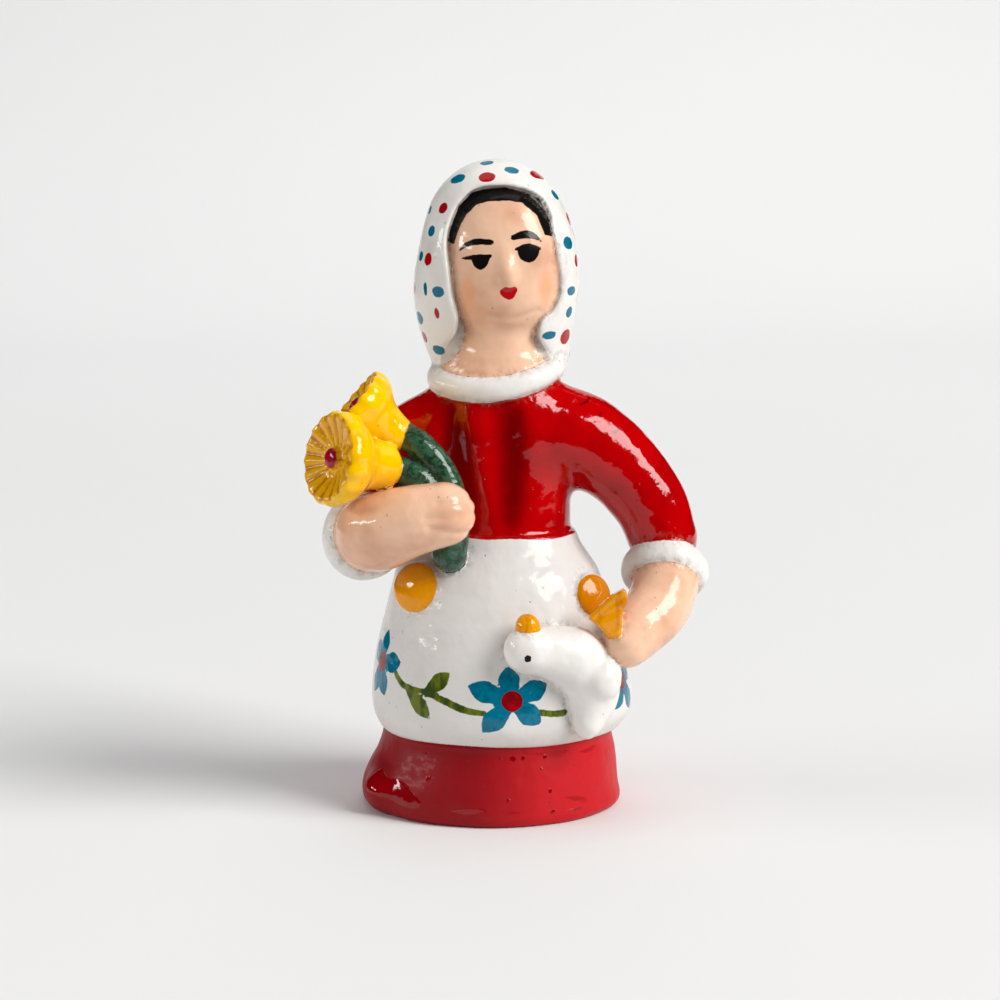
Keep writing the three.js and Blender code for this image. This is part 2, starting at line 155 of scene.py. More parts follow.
# Small cracks on the shoulder, as x, z seen from the front and half thickness.
CRACKS = [
    [(21.4, 96, 0.1), (20.2, 94.9, 0.25), (19, 94.6, 0.1)],
    [(24, 92.8, 0.1), (23, 91.6, 0.2), (22.6, 90.6, 0.1)],
    [(27.9, 89.3, 0.1), (27.2, 88.4, 0.25), (26.2, 88.2, 0.1)],
    [(31.6, 84.2, 0.1), (31, 83, 0.2), (31.2, 82, 0.1)],
]

# The face is an egg with a jaw and a nose.
FACE_EGG = ((1.6, -4.6, 126), (13.3, 10.6, 18.2))
JAW = ((2, -8.4, 119), (8.6, 5.4, 4.6))
NOSE = [(1.6, -13.6, 130, 0.9), (2.1, -14.8, 126.6, 1.3), (2.4, -14.9, 124.4, 1.6)]

# The collar's ring, its dip at the throat, its tilt across and its thickness.
COLLAR_HALF_WIDTH, COLLAR_HALF_DEPTH, COLLAR_MIDDLE_Y = 14.0, 11.4, -0.4
COLLAR_SIDE_HEIGHT, COLLAR_DIP, COLLAR_DIP_SHARPNESS = 102.6, 4.1, 2.6
COLLAR_TILT = 0.11
COLLAR_OUT, COLLAR_UP = 2.2, 2.7

# The two pockets: middle of the disc on the apron, the way it faces, and radius.
POCKETS = [((-18.1, -14, 53.2), (-0.44, -0.86, 0.24), 6.1), ((21.6, -12.6, 51.1), (0.58, -0.77, 0.26), 5.2)]

# The duck hangs head down from its feet, its neck bent up so that the beak points at the sky.
DUCK_NECK = [(8.2, -27, 41.3, 4.9), (12, -25, 40.4, 6), (16.4, -23.2, 39.2, 6.7)]
DUCK_BODY = [
    (18.8, -22, 38, 6.3), (20.8, -21.6, 34.4, 6.8), (21.2, -21.4, 30, 6.4), (20.6, -22, 26, 4.8),
    (20.4, -23.4, 23.2, 2.9),
]
DUCK_WING = [(23.8, -24.2, 35.4, 4.4), (23.4, -24.8, 34, 4.7)]
DUCK_TAIL = [(21.6, -24, 27.2, 3.2), (20.6, -24.8, 24.2, 3), (20.2, -25.2, 22.8, 2.2)]
DUCK_HEAD = ((6.4, -28, 41.6), (5, 4.6, 5.2))
DUCK_BEAK = ((6.9, -28.2, 46.9), (2.8, 2.6, 3))
FOOT_CORNERS = [
    (21.2, 48.4), (26, 52.8), (28.4, 54.2), (28.8, 52.4), (27.4, 49), (27.2, 44.2), (25.4, 44.2),
    (23.2, 46.8),
]
FOOT_FRONT_Y = -25.4

# Boxes that hold a form
NECK_BOX = ((-15, -12, 92), (15, 12, 118))
HOOD_BOX = ((-19, -16, 96), (19, 18.5, HEIGHT))
FOOT_BOX = ((20, -28, 42), (31, -20, 55))
COLLAR_BOX = ((-COLLAR_HALF_WIDTH - 3, -COLLAR_HALF_DEPTH - 4, 94),
              (COLLAR_HALF_WIDTH + 3, COLLAR_HALF_DEPTH + 3, 107))

# Where and how closely the clay is sampled
SAMPLED_X, SAMPLED_Y, FINE_FROM = (-46, 51), (-38.5, 30.5), 60
STEP_ACROSS, STEP_UP_LOW, STEP_UP_HIGH = 0.68, 0.9, 0.64
MARGIN = 5.0
FAR = 60.0


# Small maths on rows of points

def blend(t, t_a, t_b, a, b):
    return (t_b - t) / (t_b - t_a) * a + (t - t_a) / (t_b - t_a) * b


def curve_through(rows, steps):
    """A smooth centripetal curve through the rows, with steps between each two."""
    rows = np.array(rows, float)
    rows = np.vstack([2 * rows[0] - rows[1], rows, 2 * rows[-1] - rows[-2]])
    out = []
    for p0, p1, p2, p3 in zip(rows[:-3], rows[1:-2], rows[2:-1], rows[3:]):
        t0 = 0.0
        t1 = t0 + np.linalg.norm(p1 - p0) ** 0.5
        t2 = t1 + np.linalg.norm(p2 - p1) ** 0.5
        t3 = t2 + np.linalg.norm(p3 - p2) ** 0.5
        t = (t1 + (t2 - t1) * np.arange(steps) / steps)[:, None]
        a1, a2, a3 = blend(t, t0, t1, p0, p1), blend(t, t1, t2, p1, p2), blend(t, t2, t3, p2, p3)
        b1, b2 = blend(t, t0, t2, a1, a2), blend(t, t1, t3, a2, a3)
        out.append(blend(t, t1, t2, b1, b2))
    return np.vstack([*out, rows[-2][None]])


def join(a, b, softness):
    """Two forms pressed together, with a fillet of about that size."""
    share = np.clip(0.5 + 0.5 * (b - a) / softness, 0, 1)
    return b * (1 - share) + a * share - softness * share * (1 - share)


def cut(a, b, softness):
    """Form a without form b, with a rounded edge."""
    return -join(-a, b, softness)


def rounded(side, top, rounding):
    """A form bounded by two distances, with a rounded edge between them."""
    side, top = side + rounding, top + rounding
    apart = np.hypot(np.maximum(side, 0), np.maximum(top, 0))
    return apart + np.minimum(np.maximum(side, top), 0) - rounding


def united(figures):
    """The distance to the nearest of several figures."""
    return np.minimum.reduce(figures)


def nearby(points, places, reach, distance):
    """The distance to a form within a reach of some places, and a large number elsewhere."""
    places = np.array(places, float)
    low, high = places.min(0) - reach - MARGIN, places.max(0) + reach + MARGIN
    inside = np.all((points > low[:, None]) & (points < high[:, None]), axis=0)
    out = np.full(points.shape[1], FAR)
    if inside.any():
        out[inside] = distance(points[:, inside])
    return out


def loft(points, rows):
    """A form built up in level ellipses."""
    table = curve_through(rows, 16)
    z = points[2]
    half_width, half_depth, middle_x, middle_y = (np.interp(z, table[:, 0], table[:, i]) for i in range(1, 5))
    mean = (table[:, 1] + table[:, 2]) / 2
    lean = np.clip(np.gradient(mean, table[:, 0] + 1e-4 * np.arange(len(table))), -4, 4)
    x, y = (points[0] - middle_x) / half_width, (points[1] - middle_y) / half_depth
    share = np.maximum(np.hypot(x, y), 1e-6)
    slope = np.maximum(np.hypot(x / half_width, y / half_depth), 1e-8)
    side = share * (share - 1) / slope / np.hypot(1, np.interp(z, table[:, 0], lean))
    return np.maximum(side, np.maximum(table[0, 0] - z, z - table[-1, 0]))


def limb(points, rows, steps=12):
    """A round limb along a smooth curve."""
    path = curve_through(rows, steps)

    def distance(p):
        best = np.full(p.shape[1], FAR)
        for start, end in zip(path[:-1], path[1:]):
            way = end[:3] - start[:3]
            rel = p - start[:3, None]
            share = np.clip(way @ rel / (way @ way), 0, 1)
            rel -= way[:, None] * share
            best = np.minimum(best, np.sqrt((rel * rel).sum(0)) - start[3] - share * (end[3] - start[3]))
        return best

    return nearby(points, path[:, :3], path[:, 3:].max(), distance)


def egg(points, middle, radii):
    """An ellipsoid."""
    middle, radii = np.array(middle, float), np.array(radii, float)

    def distance(p):
        rel = p - middle[:, None]
        share = np.sqrt(((rel / radii[:, None]) ** 2).sum(0))
        slope = np.sqrt(((rel / radii[:, None] ** 2) ** 2).sum(0))
        return share * (share - 1) / np.maximum(slope, 1e-8)

    return nearby(points, [middle], radii, distance)


def outline(u, v, corners):
    """Signed distance in a plane to a closed outline, negative inside."""
    corners = np.array(corners, float)
    best = np.full(u.shape, 1e9)
    sign = np.ones(u.shape)
    for (u0, v0), (u1, v1) in zip(corners, np.roll(corners, -1, axis=0)):
        eu, ev = u1 - u0, v1 - v0
        wu, wv = u - u0, v - v0
        share = np.clip((wu * eu + wv * ev) / max(eu * eu + ev * ev, 1e-12), 0, 1)
        best = np.minimum(best, (wu - eu * share) ** 2 + (wv - ev * share) ** 2)
        above, below, left = v >= v0, v < v1, eu * wv > ev * wu
        sign = np.where((above & below & left) | ~(above | below | left), -sign, sign)
    return sign * np.sqrt(best)


def turned(points, middle, facing):
    """The points as seen from a middle, with the third axis along a direction."""
    turn = Vector((0, 0, 1)).rotation_difference(Vector(facing)).to_matrix()
    return np.array(turn).T @ (points - np.array(middle, float)[:, None])


# The forms of the figurine

def cuff(points, middle, along, radius):
    """A thick bead of clay round the wrist."""
    def distance(p):
        x, y, z = turned(p, middle, along)
        out = np.hypot(x, y) - radius
        return egg(np.array([out, 0 * out, z]), (0, 0, 0), (CUFF_OUT, CUFF_OUT, CUFF_ALONG))

    return nearby(points, [middle], radius + CUFF_ALONG, distance)


def collar(points):
    """The bead round the neck, which dips at the throat."""
    def distance(p):
        x, y = p[0] / COLLAR_HALF_WIDTH, (p[1] - COLLAR_MIDDLE_Y) / COLLAR_HALF_DEPTH
        share = np.maximum(np.hypot(x, y), 1e-6)
        out = share * (share - 1) / np.hypot(x / COLLAR_HALF_WIDTH, y / COLLAR_HALF_DEPTH)
        front = (1 - y / share) / 2
        up = p[2] - COLLAR_SIDE_HEIGHT - COLLAR_TILT * p[0] + COLLAR_DIP * front ** COLLAR_DIP_SHARPNESS
        return egg(np.array([out, 0 * out, up]), (0, 0, 0), (COLLAR_OUT, COLLAR_OUT, COLLAR_UP))

    return nearby(points, COLLAR_BOX, 0, distance)


def bloom(points, rim, end, radius):
    """Distance to a trumpet bloom, with fluted rim and radial grooves in its mouth."""
    rim, end = np.array(rim, float), np.array(end, float)
    length = np.linalg.norm(rim - end)
    section = curve_through([(o * radius, -a * length) for a, o in BLOOM_OUTLINE], 3)

    def distance(p):
        x, y, z = turned(p, rim, rim - end)
        out, angle = np.hypot(x, y), np.arctan2(y, x)
        wave = np.cos(angle * BLOOM_FLUTES)
        spread = np.clip(out / radius, 0, 1)
        near_rim = np.clip(1 + z / (0.45 * length), 0, 1)
        in_mouth = np.clip((spread - 0.25) / 0.3, 0, 1) * np.clip((1 - spread) / 0.2, 0, 1) * (z > -3.5)
        out = out - FLUTE_DEPTH * wave * near_rim * spread ** 2
        z = z - GROOVE_DEPTH * (np.abs(wave) ** 1.5 * np.sign(wave)) * in_mouth
        return outline(out, z, section)

    return nearby(points, [rim, end], radius + 1, distance)


def pocket(points, middle, facing, radius):
    """A domed disc on the apron."""
    def distance(p):
        x, y, z = turned(p, middle, facing)
        out = np.hypot(x, y)
        dome = POCKET_PROUD - POCKET_DOME * (out / radius) ** 2
        return np.maximum(rounded(out - radius, z - dome, POCKET_ROUNDING), -z - POCKET_DEPTH)

    return nearby(points, [middle], radius + 1, distance)


def duck_feet(points):
    """The two webbed feet, pressed into one fan that the hand grips."""
    def distance(p):
        flat = outline(p[0], p[2], FOOT_CORNERS) - FOOT_SWELL
        middle_y = FOOT_FRONT_Y + FOOT_THICKNESS / 2
        thick = np.abs(p[1] - middle_y) - FOOT_THICKNESS / 2 - FOOT_SWELL
        return rounded(flat, thick, FOOT_ROUNDING)

    return nearby(points, FOOT_BOX, 0, distance)


def pressed(points, lines, box):
    """How deep some lines drawn on the front dent a form."""
    def depth(p):
        apart = united([stroke(p[0], p[2], [(*place, 0) for place in line]) for line in lines])
        return -LINE_DEPTH * np.exp(-(apart / LINE_WIDTH) ** 2)

    inside = nearby(points, box, 0, depth)
    return np.where(inside < FAR, -inside, 0)


def sleeves(points):
    return united([limb(points, rows) for rows in SLEEVES])


def torso(points):
    """The skirt and bodice with the sleeves and the two chest grooves."""
    whole = join(loft(points, BODY_ROWS), egg(points, *BASE_LUMP), 3)
    whole = join(whole, sleeves(points), 4)
    for groove in CHEST_GROOVES:
        whole = cut(whole, limb(points, groove), 2.5)
    return whole


def face(points):
    whole = join(egg(points, *FACE_EGG), egg(points, *JAW), 3.5)
    return join(whole, limb(points, NOSE), 2.2)


def neck(points):
    return nearby(points, NECK_BOX, 0, lambda p: loft(p, NECK_ROWS))


def hood(points):
    """The headscarf, open round the face and the throat."""
    def distance(p):
        whole = loft(p, HOOD_ROWS)
        hole = outline(p[0], p[2], curve_through([*OPENING, OPENING[0]], 4)[:-1])
        hole = np.maximum(hole, p[1] - OPENING_BACK_Y)
        return cut(whole, hole, RIM_ROUNDING)

    return nearby(points, HOOD_BOX, 0, distance)


def duck(points):
    whole = join(limb(points, DUCK_NECK), limb(points, DUCK_BODY), 3)
    whole = join(whole, egg(points, *DUCK_HEAD), 2)
    whole = join(whole, limb(points, DUCK_WING), 0.9)
    return join(whole, limb(points, DUCK_TAIL), 1.2)


def forms(points):
    """The distance to each group of forms that is painted on its own."""
    right_hand = limb(points, RIGHT_FOREARM) + pressed(points, *FIST_LINES)
    left_hand = limb(points, LEFT_FOREARM) + pressed(points, *HELD_LINES)
    return {
        "torso": torso(points),
        "hood": hood(points),
        "head": join(face(points), neck(points), 1.2) + pressed(points, *CHIN_LINES),
        "collar": collar(points),
        "cuffs": united([cuff(points, *sizes) for sizes in CUFFS]),
        "hands": np.minimum(right_hand, left_hand),
        "blooms": united([bloom(points, *sizes) for sizes in BLOOMS]),
        "stems": united([limb(points, rows) for rows in STEMS]),
        "pockets": united([pocket(points, *sizes) for sizes in POCKETS]),
        "duck": duck(points),
        "beak": egg(points, *DUCK_BEAK),
        "feet": duck_feet(points) + pressed(points, *FOOT_LINES),
    }


# How softly each form is pressed into the ones before it.
SOFTNESS = {"hood": 0.6, "head": 1.2, "collar": 0.8, "cuffs": 0.7, "hands": 0.5, "blooms": 0.5, "stems": 0.6,
            "pockets": 0.6, "duck": 0.6, "beak": 0.5, "feet": 0.5}


def lumps(points):
    """The low swells and dents that fingers leave in clay."""
    x, y, z = points
    broad = np.sin(x / 3.9 + 1.3) * np.sin(y / 3.3 + 0.4) * np.sin(z / 4.4 + 2.1)
    small = np.sin(x / 1.9 + 0.7 * np.sin(z / 3.1)) * np.sin(y / 2.1 + 1.9) * np.sin(z / 2.3 + 0.5)
    return LUMP_HEIGHT * (broad + 0.45 * small)


def clay(points):
    """Distance to the whole figurine."""
    parts = forms(points)
    whole = parts["torso"]
    for name, softness in SOFTNESS.items():
        whole = join(whole, parts[name], softness)
    return np.maximum(whole + lumps(points), -points[2])


# The skin of the clay as a mesh

def levels():
    """Where the field is sampled along each axis."""
    across = np.arange(*SAMPLED_X, STEP_ACROSS)
    deep = np.arange(*SAMPLED_Y, STEP_ACROSS)
    low = np.arange(-STEP_UP_LOW, FINE_FROM, STEP_UP_LOW)
    high = np.arange(FINE_FROM, HEIGHT + 2, STEP_UP_HIGH)
    return across, deep, np.concatenate([low, high])


def sample(xs, ys, zs, layers=16):
    """The clay's distance over the grid, a few layers at a time."""
    field = np.empty((len(xs), len(ys), len(zs)))
    flat_x, flat_y = (a.ravel() for a in np.meshgrid(xs, ys, indexing="ij"))
    for start in range(0, len(zs), layers):
        some = zs[start:start + layers]
        columns = [np.repeat(flat, len(some)) for flat in (flat_x, flat_y)]
        points = np.array([*columns, np.tile(some, len(flat_x))])
        field[:, :, start:start + layers] = clay(points).reshape(len(xs), len(ys), len(some))
    return field


OTHER_AXES = ((1, 2), (0, 2), (0, 1))


def crossed_cells(inside):
    """The cells with corners on both sides of the surface."""
    cells = tuple(n - 1 for n in inside.shape)
    corner_sum = np.zeros(cells, int)
    for a, b, c in itertools.product((0, 1), repeat=3):
        corner_sum += inside[a:a + cells[0], b:b + cells[1], c:c + cells[2]]
    return (corner_sum > 0) & (corner_sum < 8)


def mean_crossings(axes, field, place):
    """In each cell, the mean of the points where the surface crosses its edges."""
    total = np.zeros((3, place.shape[1]))
    hits = np.zeros(place.shape[1])
    for axis in range(3):
        u, v = OTHER_AXES[axis]
        for first, second in itertools.product((0, 1), repeat=2):
            here = place.copy()
            here[u] += first
            here[v] += second
            there = here.copy()
            there[axis] += 1
            a, b = field[tuple(here)], field[tuple(there)]
            crossed = (a < 0) != (b < 0)
            share = np.where(crossed, a / np.where(crossed, a - b, 1), 0)
            for k in range(3):
                start, stop = axes[k][here[k]], axes[k][there[k]]
                total[k] += np.where(crossed, start + share * (stop - start), 0)
            hits += crossed
    return total / hits


def quads_round_edges(inside, number, axis):
    """A quad of cell numbers round each crossed grid edge along an axis."""
    u, v = OTHER_AXES[axis]
    low = np.take(inside, range(inside.shape[axis] - 1), axis)
    high = np.take(inside, range(1, inside.shape[axis]), axis)
    edges = np.array(np.nonzero(low != high))
    leaving = low[tuple(edges)]
    ring = []
    for first, second in ((-1, -1), (0, -1), (0, 0), (-1, 0)):
        cell = edges.copy()
        cell[u] += first
        cell[v] += second
        ring.append(number[tuple(cell)])
    ring = np.array(ring).T
    flip = leaving if axis == 1 else ~leaving
    ring[flip] = ring[flip][:, ::-1]
    return ring


def surface_net(axes, field):
    """A vertex in each cell that the surface crosses, and a quad round each crossed grid edge."""
    inside = field < 0
    active = crossed_cells(inside)
    place = np.array(np.nonzero(active))
    number = np.full(active.shape, -1)
    number[active] = np.arange(place.shape[1])
    quads = [quads_round_edges(inside, number, axis) for axis in range(3)]
    return mean_crossings(axes, field, place), np.vstack(quads)


def slope_of(points, reach=0.06):
    """The clay's gradient, by central differences."""
    slope = np.empty_like(points)
    for axis in range(3):
        step = np.zeros((3, 1))
        step[axis] = reach
        slope[axis] = (clay(points + step) - clay(points - step)) / (2 * reach)
    return slope


def settle(points, rounds):
    """Moves points onto the clay's surface."""
    for _ in range(rounds):
        slope = slope_of(points)
        push = clay(points) / np.maximum((slope * slope).sum(0), 0.1)
        points = points - slope * np.clip(push, -0.5, 0.5)
    return points


def even_out(points, quads):
    """Each point part of the way to the mean of its neighbours."""
    total = np.zeros_like(points)
    count = np.zeros(points.shape[1])
    for i in range(4):
        a, b = quads[:, i], quads[:, (i + 1) % 4]
        for k in range(3):
            total[k] += np.bincount(a, points[k][b], points.shape[1])
            total[k] += np.bincount(b, points[k][a], points.shape[1])
        count += np.bincount(a, minlength=points.shape[1]) + np.bincount(b, minlength=points.shape[1])
    return points + 0.5 * (total / count - points)


# Painted figures, each a distance to its edge that is negative inside

def stroke(u, v, rows):
    """A brush stroke along a curve of u, v and half thickness."""
    path = curve_through(rows, 5)
    best = np.full(u.shape, FAR)
    for (u0, v0, r0), (u1, v1, r1) in zip(path[:-1], path[1:]):
        eu, ev = u1 - u0, v1 - v0
        share = np.clip(((u - u0) * eu + (v - v0) * ev) / max(eu * eu + ev * ev, 1e-12), 0, 1)
        apart = np.hypot(u - u0 - eu * share, v - v0 - ev * share)
        best = np.minimum(best, apart - r0 - share * (r1 - r0))
    return best


def petal(u, v, root, tip, half_width):
    """A painted petal or leaf that widens from its root and ends in a point."""
    (u0, v0), (u1, v1) = root, tip
    eu, ev = u1 - u0, v1 - v0
    length = math.hypot(eu, ev)
    along, across = ((u - u0) * eu + (v - v0) * ev) / length, ((v - v0) * eu - (u - u0) * ev) / length
    share = np.clip(along / length, 0, 1)
    width = half_width * np.minimum(0.4 + share, 1 - np.clip((share - 0.58) / 0.42, 0, 1) ** 1.8)
    beyond = np.maximum(-along, along - length)
    return np.maximum((np.abs(across) - width) * 0.9, beyond)


def flower(u, v, middle, tips):
    """Petals from one middle, with their tips measured from it."""
    mu, mv = middle
    return united([petal(u, v, middle, (mu + tu, mv + tv), PETAL_HALF_WIDTH) for tu, tv in tips])


def iris(x, z, middle_x, middle_z, half_width, drop):
    """The lower part of a painted eye, cut off under its lid."""
    disc = (np.hypot((x - middle_x) / half_width, (z - middle_z) / drop) - 1) * half_width
    return np.maximum(disc, z - middle_z - LID_OVERLAP)


# The skirt's paint is laid out by distance round it from the middle of the front, and height.
WRAP_RADIUS, WRAP_MIDDLE_X = 28.5, 0.9
WRAP_HALF_WIDTH, WRAP_HALF_DEPTH = 29.6, 27.0
APRON_REACH = 58
FLOWERS = [
    ((2.4, 29.7), [(-1, 7.8), (8, 3.7), (6.2, -5.5), (-6.4, -7.2), (-9.8, 3.4)]),
    ((-34.5, 35), [(0.2, 7.6), (9, 1.3), (3.4, -7.4), (-3.6, -7.6), (-7, 3.6)]),
    ((34.2, 31), [(0.2, 7.6), (7.2, 2.4), (5, -7.8), (-4.8, -6.2), (-7.2, 2.2)]),
]
VINES = [
    [(-29.5, 36.2, 0.45), (-24.4, 31.6, 0.75), (-17.4, 30.6, 0.6), (-13.4, 29.5, 0.8), (-7.6, 27.4, 0.8),
     (-2.4, 26.8, 0.5)],
    [(7.9, 27, 0.7), (11.4, 26.4, 0.75), (15.6, 26.5, 0.75)],
]
LEAVES = [((-17.6, 30.2), (-11.6, 35.6), 2), ((-23, 31.6), (-15.9, 24.7), 2)]
FLOWER_MIDDLE_RADIUS = 2.3
PETAL_HALF_WIDTH = 2.5
# Glossy runs and beads of red enamel at the foot of the skirt
RUNS = [
    [(-31.4, 9.8, 0.8), (-30.4, 8, 2), (-28, 7.2, 2)],
    [(-27.6, 7, 2), (-24.4, 6.6, 2.5), (-20.6, 5.2, 1.8), (-18.4, 4.6, 0.8)],
    [(-10.6, 4, 0.3), (-7, 4, 0.7), (-3, 4.4, 0.3)],
    [(16, 2.9, 0.2), (19, 2.9, 0.4), (23, 2.5, 0.2)],
]
BEADS = [
    (1.6, 6.4, 0.6), (11.6, 8, 0.6), (12.1, 3.2, 0.6), (10, 13.3, 0.5), (-17.2, 10.6, 0.7),
    (-19, 15.9, 0.5), (-0.2, 15.8, 0.4), (1.4, 15.4, 0.5), (3, 15.6, 0.7), (5.4, 15.7, 0.6),
    (11, 15.6, 0.6),
]

# Face paint, as x and z seen from the front. The lines are two brows and two lids, with half thickness, and
# an iris is its middle, half width and depth below the lid.
HAIR = [
    (-11.2, 131.5), (-10.8, 133.9), (-8.7, 139.6), (-5.7, 142.7), (-2.7, 143.5), (1.8, 143.9), (6.3, 142.8),
    (9.7, 141.3), (11.9, 136.9), (12.8, 132.9), (10.8, 133.3), (9.1, 137.6), (5.7, 140.5), (2.4, 141),
    (-2.1, 140.8), (-4.5, 140.1), (-6.9, 137.8), (-8.4, 135.1), (-9.7, 131.2),
]
FACE_LINES = [
    [(-8.7, 129.6, 0.15), (-7.2, 131, 0.45), (-4.6, 131.9, 0.7), (-1.2, 131.8, 0.6)],
    [(3.7, 132.9, 0.65), (6.6, 133.6, 0.9), (8.6, 133, 0.6), (10, 132, 0.15)],
    [(-7.7, 128.2, 0.25), (-4.6, 128.5, 0.6), (-1.5, 128.7, 0.45)],
    [(4.2, 130.3, 0.25), (6.8, 131, 0.6), (9.8, 130.4, 0.3)],
]
IRISES, LID_OVERLAP = [(-3.7, 128.4, 2, 2.7), (7.1, 130.3, 2.5, 3)], 0.4
LIPS = [
    (0.3, 120.9), (1.9, 122), (3.1, 121.8), (4.4, 122), (4.7, 121.2), (3.8, 119.4), (2.7, 118.9),
    (1.3, 119.6),
]
CHEEKS = [(-6.6, 120.2), (11, 121.2)]
BLUSH_HALF_WIDTH, BLUSH_HALF_HEIGHT, BLUSH_SPREAD = 1.4, 3.4, 1.6
DUCK_EYE, DUCK_EYE_RADIUS = (6.9, 40.6), 0.85

# How far the paint reaches on a pocket's disc, and in a bloom's mouth.
DISC_INSET, DISC_FRONT = 0.35, 0.5
MOUTH_SHARE, MOUTH_DEPTH = 0.93, 2.6

# Scarf dots seen from the front, as x, z, half width, half height.
BLUE_DOTS = [
    (-13.5, 106.8, 1, 1), (-13.3, 120.5, 1.1, 1.1), (-14.9, 134, 0.6, 1.1), (-8.8, 145.7, 1.2, 1),
    (3.4, 147.7, 1.3, 0.9), (13.2, 142, 0.6, 1.1), (16.2, 131.3, 0.9, 1.3), (16.9, 120.4, 0.8, 0.9),
    (16.5, 115.5, 0.6, 1.1), (12, 110.5, 1.2, 0.8), (-2.3, 149.3, 1.2, 1), (-15.3, 138.6, 0.5, 0.8),
    (-17.3, 128.2, 0.5, 1), (-17.8, 114, 0.9, 1.3), (-16.2, 121, 0.3, 1.2),
]
RED_DOTS = [
    (-15.6, 127.7, 0.7, 1.3), (-12.2, 139.2, 0.8, 1.1), (-2.2, 146.2, 1.7, 1.2), (9.2, 146.5, 1.2, 0.9),
    (17.2, 136.6, 0.6, 1.4), (18.2, 127.1, 0.6, 1.3), (15.8, 109.7, 0.9, 1.6), (-18.9, 120.7, 0.6, 1.2),
    (-16.7, 109.5, 0.6, 1.2), (-13.6, 115.6, 0.4, 1.1),
]
DOT_GROWTH = 0.18
BACK_DOT_HEIGHTS = [105, 112, 119, 126, 133, 139.5, 145]
BACK_DOT_SPACING = 8.0
BACK_DOT_START, BACK_DOT_TURN = math.radians(80), math.radians(200)


def hood_at(height):
    """The scarf's half width, half depth and middle at a height."""
    rows = np.array(HOOD_ROWS)
    return [np.interp(height, rows[:, 0], rows[:, i]) for i in range(1, 5)]


def hood_point(angle, height):
    """A place on the scarf: angle round the head from the front, and height."""
    half_width, half_depth, x, y = hood_at(height)
    return np.array([x + half_width * math.sin(angle), y - half_depth * math.cos(angle), height])


def scarf_dots():
    """Middle, half sizes and colour of every dot: those seen from the front, then those behind."""
    dots = []
    for color, given in (("blue", BLUE_DOTS), ("red", RED_DOTS)):
        for x, z, wide, high in given:
            half_width, _, middle, _ = hood_at(z)
            angle = math.asin(max(-0.99, min(0.99, (x - middle) / half_width)))
            dots.append((hood_point(angle, z), wide / max(0.45, math.cos(angle)), high, color))
    for row, height in enumerate(BACK_DOT_HEIGHTS):
        count = max(2, int(BACK_DOT_TURN * hood_at(height)[0] / BACK_DOT_SPACING))
        for i in range(count):
            angle = BACK_DOT_START + BACK_DOT_TURN * (i + 0.25 + 0.5 * (row % 2)) / count
            wander = math.sin(7.3 * i + 3.1 * row)
            place = hood_point(angle, height + 0.8 * wander)
            dots.append((place, 1.2 + 0.15 * wander, 1.4 + 0.2 * wander, "blue" if (i + row) % 2 else "red"))
    return dots


def dot_distance(points, color):
    whole = np.full(points.shape[1], FAR)
    for middle, wide, high, dot_color in scarf_dots():
        if dot_color == color:
            x, y, z = points - middle[:, None]
            dot = (np.hypot(np.hypot(x, y) / wide, z / high) - 1) * min(wide, high)
            whole = np.minimum(whole, dot - DOT_GROWTH)
    return whole


# Layers of paint, each a distance to its edge that is positive inside

OWN_SLOPE = 1.6
CREASE_REACH = 2.2
SEAM_REACH = 0.9


def both(*layers):
    """Inside every one of the layers."""
    return np.minimum.reduce(layers)


def either(*layers):
    """Inside at least one of the layers."""
    return np.maximum.reduce(layers)


def owned(parts):
    """How far inside each form's share of the skin the points lie, and how far off the next form is."""
    table = np.array(list(parts.values()))
    nearest, following = np.partition(table, 1, axis=0)[:2]
    own = {}
    for name, row in zip(parts, table):
        rival = np.where(row <= nearest, following, nearest)
        own[name] = (rival - row) / OWN_SLOPE
    return own, following


def apron_layer(points, wrap, own):
    x, y, z = points
    hem = z - HEM_HEIGHT + 0.4 + 0.25 * np.sin(wrap / 6)
    waist = WAIST_HEIGHT + 0.2 * np.sin(x / 2.3) - 0.03 * x - z
    off_sleeves = np.where(z > HEM_HEIGHT + 25, sleeves(points) - loft(points, BODY_ROWS), FAR)
    return both(hem, waist, APRON_REACH - np.abs(wrap), off_sleeves, own["torso"])


def painted_groove_shade(points):
    """Painted shade that darkens the red in the grooves of the chest, 0 to 1."""
    x, y, z = points
    groove_shade = np.exp(-((x - 3.2) / 3.4) ** 2) + 0.8 * np.exp(-((x + 10.2) / 2.0) ** 2) * (z > 76)
    return groove_shade * np.clip((z - 63) / 6, 0, 1) * np.clip((98 - z) / 5, 0, 1) * (y < 0)


